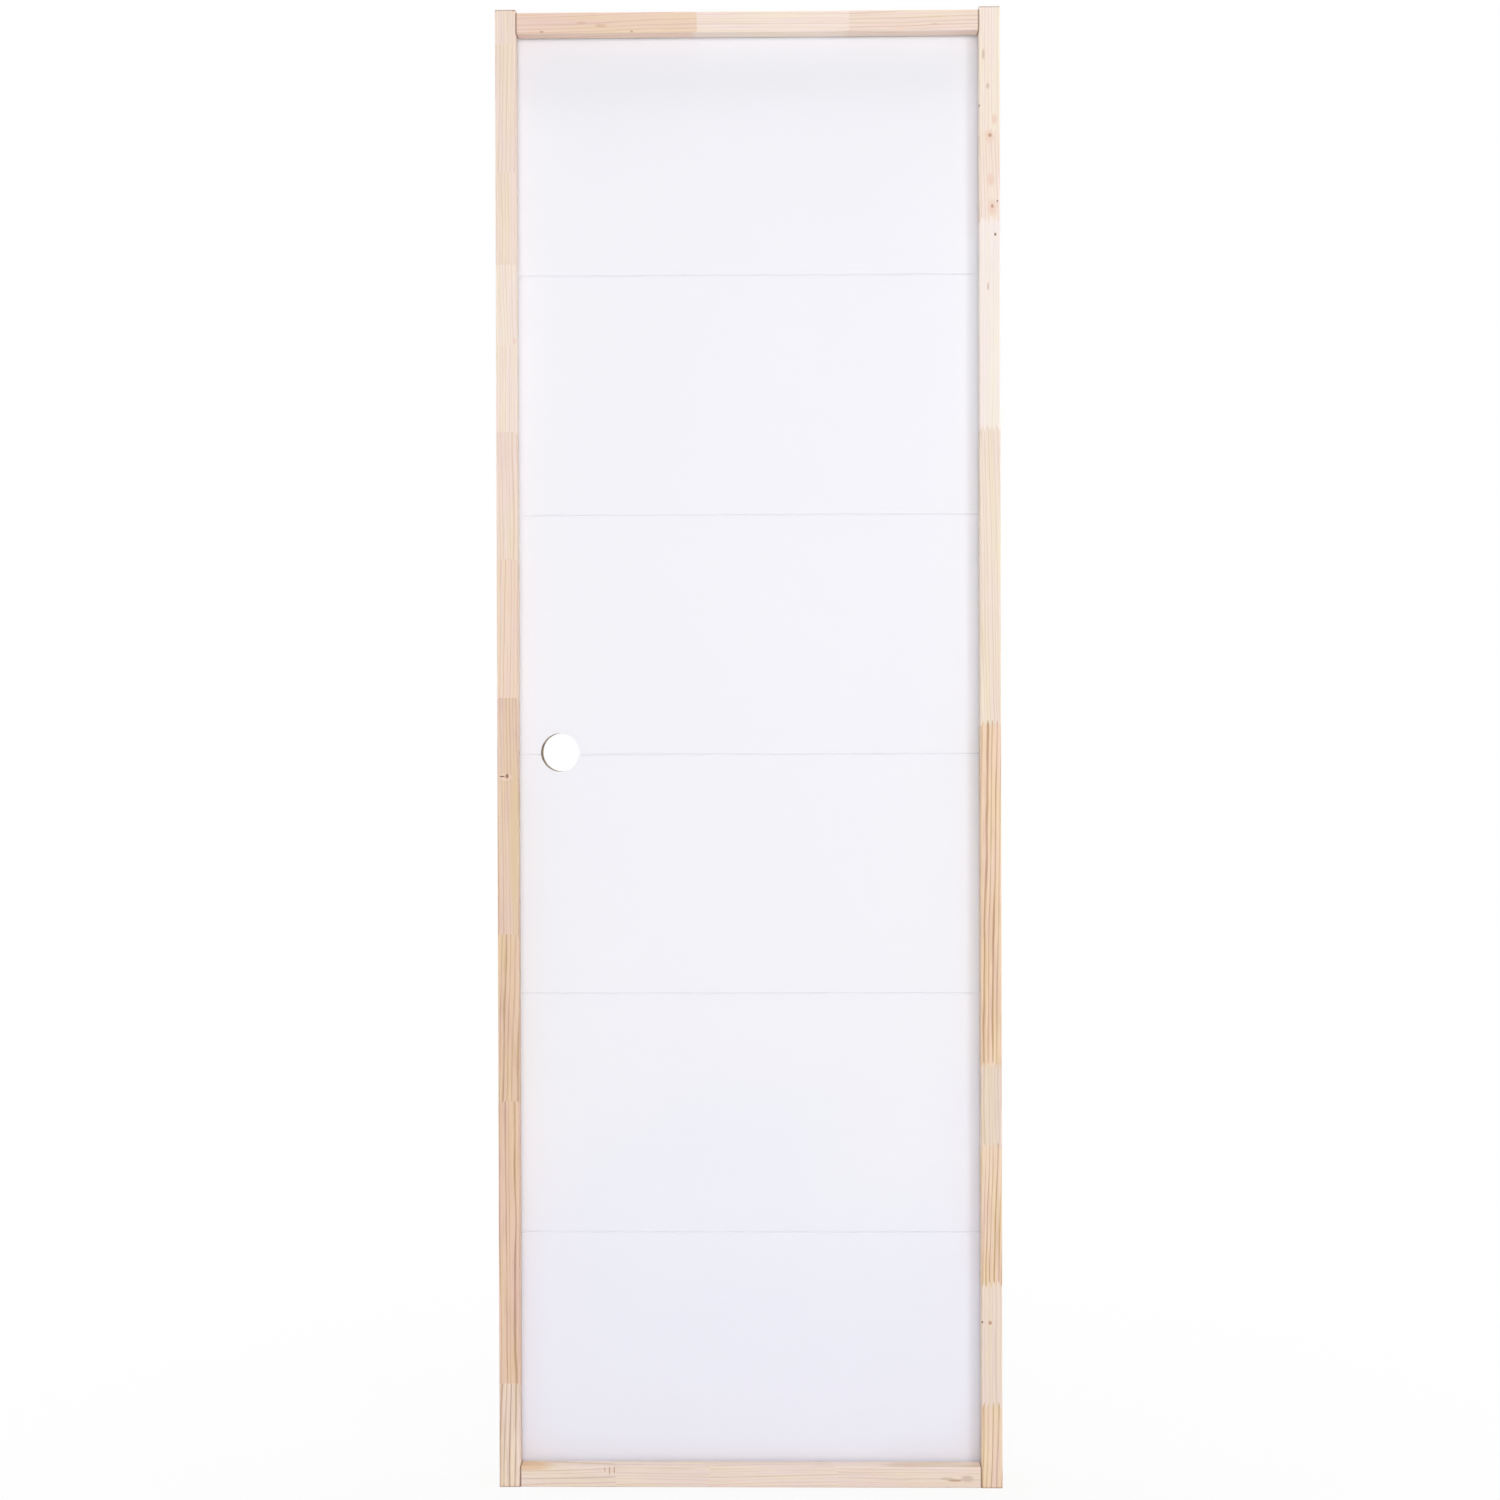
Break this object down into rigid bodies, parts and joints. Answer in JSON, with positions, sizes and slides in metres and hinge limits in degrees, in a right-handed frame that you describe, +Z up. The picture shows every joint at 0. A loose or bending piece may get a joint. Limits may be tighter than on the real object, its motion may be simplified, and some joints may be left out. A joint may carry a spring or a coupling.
{
  "type": "prehung plywood door",
  "caption": "Prehung interior door: a grooved white plywood leaf, bored for a lock, on butt hinges in a rebated pine frame with a head and a sill.",
  "frame": {"origin": "middle of the sill's underside, at floor level, halfway through the frame's depth", "axes": "+Z up; +X along the width towards the hinge jamb; +Y through the depth, from the stop side to the hinge side, the way the leaf opens"},
  "size_m": [0.7, 0.076, 2.054],
  "materials": {
    "pine": "finger-jointed pine, planed and unfinished",
    "painted_plywood": "plywood, satin white paint",
    "core_timber": "softwood, sawn and planed",
    "zinc_steel": "steel, zinc plated"
  },
  "bodies": {
    "frame": {"lock_jamb": "pine", "hinge_jamb": "pine", "head": "pine", "sill": "pine", "upper_hinge_frame_plate": "zinc_steel", "middle_hinge_frame_plate": "zinc_steel", "lower_hinge_frame_plate": "zinc_steel", "upper_hinge_pin": "zinc_steel", "middle_hinge_pin": "zinc_steel", "lower_hinge_pin": "zinc_steel"},
    "leaf": {"front_skin": "painted_plywood", "back_skin": "painted_plywood", "lock_stile": "core_timber", "hinge_stile": "core_timber", "top_rail": "core_timber", "bottom_rail": "core_timber", "lock_block": "core_timber", "upper_hinge_door_plate": "zinc_steel", "middle_hinge_door_plate": "zinc_steel", "lower_hinge_door_plate": "zinc_steel"}
  },
  "joints": [
    {"name": "leaf_swing", "type": "hinge", "parent": "frame", "child": "leaf", "pos_m": [0.3275, 0.038, 1.06], "axis": [0, 0, -1], "range_deg": [0, 180]}
  ]
}
